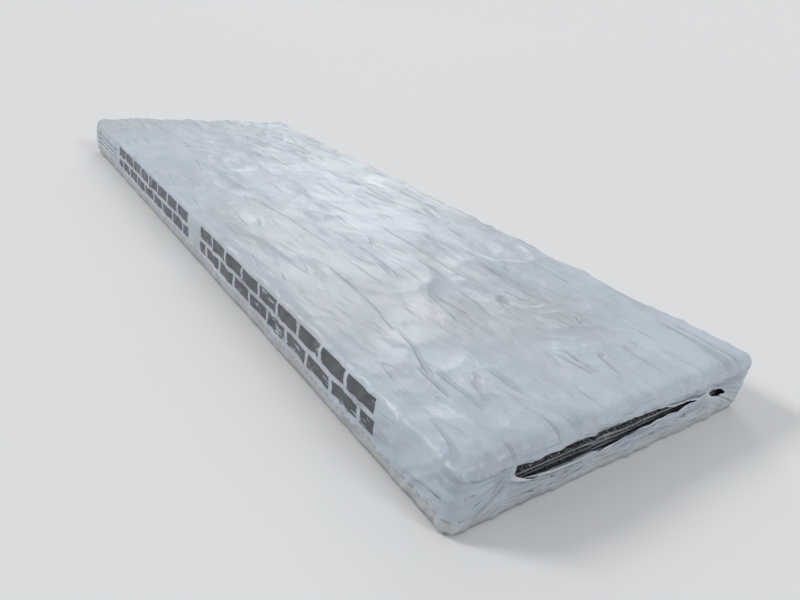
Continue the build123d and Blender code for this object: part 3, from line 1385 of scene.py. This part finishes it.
@dataclass(frozen=True)
class ShingleFinish:
    """Granule-coated asphalt: salt-and-pepper faces, dark layered cut edges with stray pale grains, and
    near-black painted shade in the gaps and furrows between shingles.
    """

    asphalt: Floats = (0.215, 0.232, 0.265, 1.0)
    mat: Floats = (0.36, 0.38, 0.42, 1.0)
    # Near-black painted shade for the gaps between shingles
    gap: Floats = (0.034, 0.038, 0.046, 1.0)
    stray: Floats = (0.50, 0.51, 0.53, 1.0)

    # Share of the grains where each grey begins, and the grey
    greys: tuple[Floats, ...] = ((0.0, 0.03), (0.38, 0.16), (0.58, 0.42), (0.78, 0.75))

    def make(self) -> bpy.types.Material:
        """Build the material.

        Returns:
            The material.
        """
        g = Graph("shingle")
        edge = g.attribute("edge")
        grains = g.specks(g.place, 720.0)
        lines = g.streaks(g.place, (25.0, 25.0, 700.0), 0.0, 3.0, 0.6)
        core = g.mix(g.ramp(lines, 0.40, 0.62), self.asphalt, self.mat)
        chosen = g.ramp(g.part(g.specks(g.place, 700.0).outputs["Color"], 1), 0.96, 0.97)
        core = g.mix(g.times(chosen, 0.6), core, self.stray)
        # Painted shade on the back and face rows of the cut edges, for the furrows between shingles
        dark = g.mix(g.ramp(g.attribute("groove_shade"), 0.1, 0.9), core, self.gap)
        shade = self.granules(g, g.part(grains.outputs["Color"], 0))
        # Painted shade on the faces at the cut ends, for the gaps between shingles
        face = g.mix(g.times(g.ramp(g.attribute("cut"), 0.5, 0.9), 0.75), shade, self.gap)
        height = g.times(g.inverse(grains.outputs["Distance"]), g.math("MULTIPLY_ADD", edge, -0.7, 1.0))
        links = {Socket.COLOUR: g.mix(edge, face, dark), Socket.NORMAL: g.bump(height, 0.5 * MM)}
        return g.finish(links, Roughness=0.85, Specular_IOR_Level=0.3)

    def granules(self, g: Graph, grain: Any) -> Any:
        """One of the greys for each grain, a little towards blue.

        Args:
            g: the shingle's graph.
            grain: a random number from 0 to 1 for each grain.

        Returns:
            The colour of each grain.
        """
        ramp = g.node("ValToRGB", grain)
        ramp.color_ramp.interpolation = "CONSTANT"
        stops = ramp.color_ramp.elements
        for index, (at, level) in enumerate(self.greys):
            stop = stops[index] if index < 2 else stops.new(at)
            stop.position = at
            stop.color = (level, level, level * 1.03, 1.0)
        return ramp.outputs[0]


@dataclass(frozen=True)
class GranuleFinish:
    """Ceramic-coated mineral grains, most of them pale."""

    dark: Floats = (0.16, 0.165, 0.175, 1.0)
    pale: Floats = (0.72, 0.72, 0.71, 1.0)

    def make(self) -> bpy.types.Material:
        """Build the material.

        Returns:
            The material.
        """
        g = Graph("granules")
        mottle = g.math("MULTIPLY_ADD", g.noise(g.place, 900.0, 2.0), 0.4, -0.2)
        share = g.ramp(g.math("ADD", g.attribute("pale"), mottle), 0.25, 0.6)
        colour = g.mix(share, self.dark, self.pale)
        return g.finish({Socket.COLOUR: colour}, Roughness=0.75, Specular_IOR_Level=0.35)


@dataclass(frozen=True)
class FloorFinish:
    """Plain pale studio floor, which the camera sees nearly white."""

    tone: Floats = (0.80, 0.80, 0.80, 1.0)

    def make(self) -> bpy.types.Material:
        """Build the material."""
        g = Graph("floor")
        return g.finish({Socket.COLOUR: self.tone}, Roughness=0.9, Specular_IOR_Level=0.1)


@dataclass(frozen=True)
class Lamp:
    """Even lamp far away, which shines along a direction, its shadow softened by its spread in degrees."""

    name: str
    towards: Floats
    spread: float
    strength: float

    def build(self) -> None:
        """Put the lamp into the scene."""
        data = bpy.data.lights.new(self.name, "SUN")
        data.angle = math.radians(self.spread)
        data.energy = self.strength
        piece = bpy.data.objects.new(self.name, data)
        bpy.context.scene.collection.objects.link(piece)
        piece.rotation_euler = Vector(self.towards).to_track_quat("-Z", "Y").to_euler()


@dataclass
class Studio:
    """Floor, lamps, world and the camera at the photograph's angle.

    The soft key comes from the front left, a weaker lamp from the right, and one from behind on the left
    brings out the film's sheen. The sky grows brighter from its foot to its top. Where the camera sees the
    world itself, straight, mirrored or through a piece, it has a paler tone at one even level.
    """

    azimuth: float = 52.0
    elevation: float = 25.0
    roll: float = 8.0
    distance: float = 0.72
    lens: float = 28.0
    aim: Floats = (0.20, 0.0, 0.0)
    floor_reach: float = 40.0
    lamps: tuple[Lamp, ...] = (
        Lamp("key", (0.75, 0.80, -0.72), 16.0, 1.32),
        Lamp("rim", (-1.0, -0.25, -0.6), 20.0, 0.75),
        Lamp("sheen", (0.75, -0.50, -0.42), 22.0, 0.34),
    )
    sky_tone: Floats = (0.945, 0.972, 1.0, 1.0)
    sky_levels: Floats = (0.20, 0.62)
    sky_top: float = 0.9
    seen_tone: Floats = (0.981, 0.990, 1.0, 1.0)
    seen_level: float = 0.73

    def floor(self) -> None:
        """A wide flat floor at the level that the bundle lies on."""
        signs = np.array([[-1, -1, 0], [1, -1, 0], [1, 1, 0], [-1, 1, 0]], float)
        piece = Surface(signs * self.floor_reach, np.array([[0, 1, 2, 3]])).build("floor")
        piece.data.materials.append(FloorFinish().make())

    def world(self) -> None:
        """The world's sky, with its own tone and level for the rays that the camera sees."""
        world = bpy.data.worlds.new("world")
        world.use_nodes = True
        g = Tree(world.node_tree)
        rays = g.node("LightPath").outputs
        seen = rays["Is Camera Ray"]
        for kind in ("Is Glossy Ray", "Is Transmission Ray"):
            seen = g.math("MAXIMUM", seen, rays[kind])
        up = g.part(g.node("TexCoord").outputs["Generated"], 2)
        sky = g.scaled(up, 0.0, self.sky_top, *self.sky_levels)
        background = world.node_tree.nodes["Background"]
        g.feed(background.inputs["Color"], g.mix(seen, self.sky_tone, self.seen_tone))
        g.feed(background.inputs["Strength"], g.scaled(seen, 0.0, 1.0, sky, self.seen_level))
        bpy.context.scene.world = world

    def camera(self) -> None:
        """The camera on a sphere round its aim, rolled like the photograph's."""
        data = bpy.data.cameras.new("camera")
        data.lens = self.lens
        data.sensor_width = 36.0
        data.clip_start = 0.01
        piece = bpy.data.objects.new("camera", data)
        bpy.context.scene.collection.objects.link(piece)
        azimuth, elevation = math.radians(self.azimuth), math.radians(self.elevation)
        away = Vector((math.sin(azimuth) * math.cos(elevation), -math.cos(azimuth) * math.cos(elevation),
                       math.sin(elevation)))
        piece.location = Vector(self.aim) + away * self.distance
        level = (-away).to_track_quat("-Z", "Y").to_matrix()
        piece.rotation_euler = (level @ Matrix.Rotation(math.radians(self.roll), 3, "Z")).to_euler()
        bpy.context.scene.camera = piece

    def build(self) -> None:
        """Make everything round the object."""
        self.floor()
        for lamp in self.lamps:
            lamp.build()
        self.world()
        self.camera()
        bpy.context.scene.view_settings.view_transform = "Standard"


def dress(piece: Piece, material: bpy.types.Material) -> None:
    """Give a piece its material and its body.

    Args:
        piece: the piece, whose mesh takes the material.
        material: its finish.
    """
    piece.data.materials.append(material)
    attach(piece, "root")


def lip_flaps(sleeve: FilmSleeve) -> list[Piece]:
    """Make the tongues and rolled hems of film along the lips of both mouths.

    Args:
        sleeve: the film sleeve whose mouths they hang on.

    Returns:
        The flaps' objects.
    """
    left, right = sleeve.mouths
    # Name, mouth, whether on its upper lip, start and stop along it, width, curl, root, proud and seed
    flaps = [
        Flap("lip_tongue_right", right, True, -70 * MM, 66 * MM, 5.0 * MM, 0.5, 2.5 * MM, -1.1 * MM, 301),
        Flap("lip_roll_right", right, True, 42 * MM, 128 * MM, 7.0 * MM, 3.6, 1.2 * MM, 0.9 * MM, 311),
        Flap("lip_hem_right", right, False, -112 * MM, -20 * MM, 4.0 * MM, 3.2, 1.0 * MM, 0.7 * MM, 321),
        Flap("lip_tongue_left", left, False, -30 * MM, 70 * MM, 4.0 * MM, 0.4, 2.5 * MM, -1.0 * MM, 331),
        Flap("lip_roll_left", left, True, -52 * MM, 40 * MM, 5.0 * MM, 3.4, 1.0 * MM, 0.8 * MM, 341),
    ]
    return [flap.build(sleeve) for flap in flaps]


def main() -> None:
    """Build the studio, then the bundle piece by piece."""
    logging.basicConfig(level=logging.INFO, format="%(name)s: %(message)s")
    Studio().build()
    sleeve = FilmSleeve()
    film_finish = FilmFinish().make()
    film = sleeve.build()
    dress(film, film_finish)
    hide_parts("film_wrap")
    flaps = lip_flaps(sleeve)
    for flap in flaps:
        dress(flap, film_finish)
    shingle_finish = ShingleFinish().make()
    pack = ShinglePack().build()
    for piece in pack:
        dress(piece, shingle_finish)
    granules = LooseGranules().build()
    dress(granules, GranuleFinish().make())
    for piece in (film, *flaps, *pack, granules):
        log.info("%s: %d faces", piece.name, len(piece.data.polygons))
    [piece.name for piece in pack]


if __name__ == "__main__":
    main()
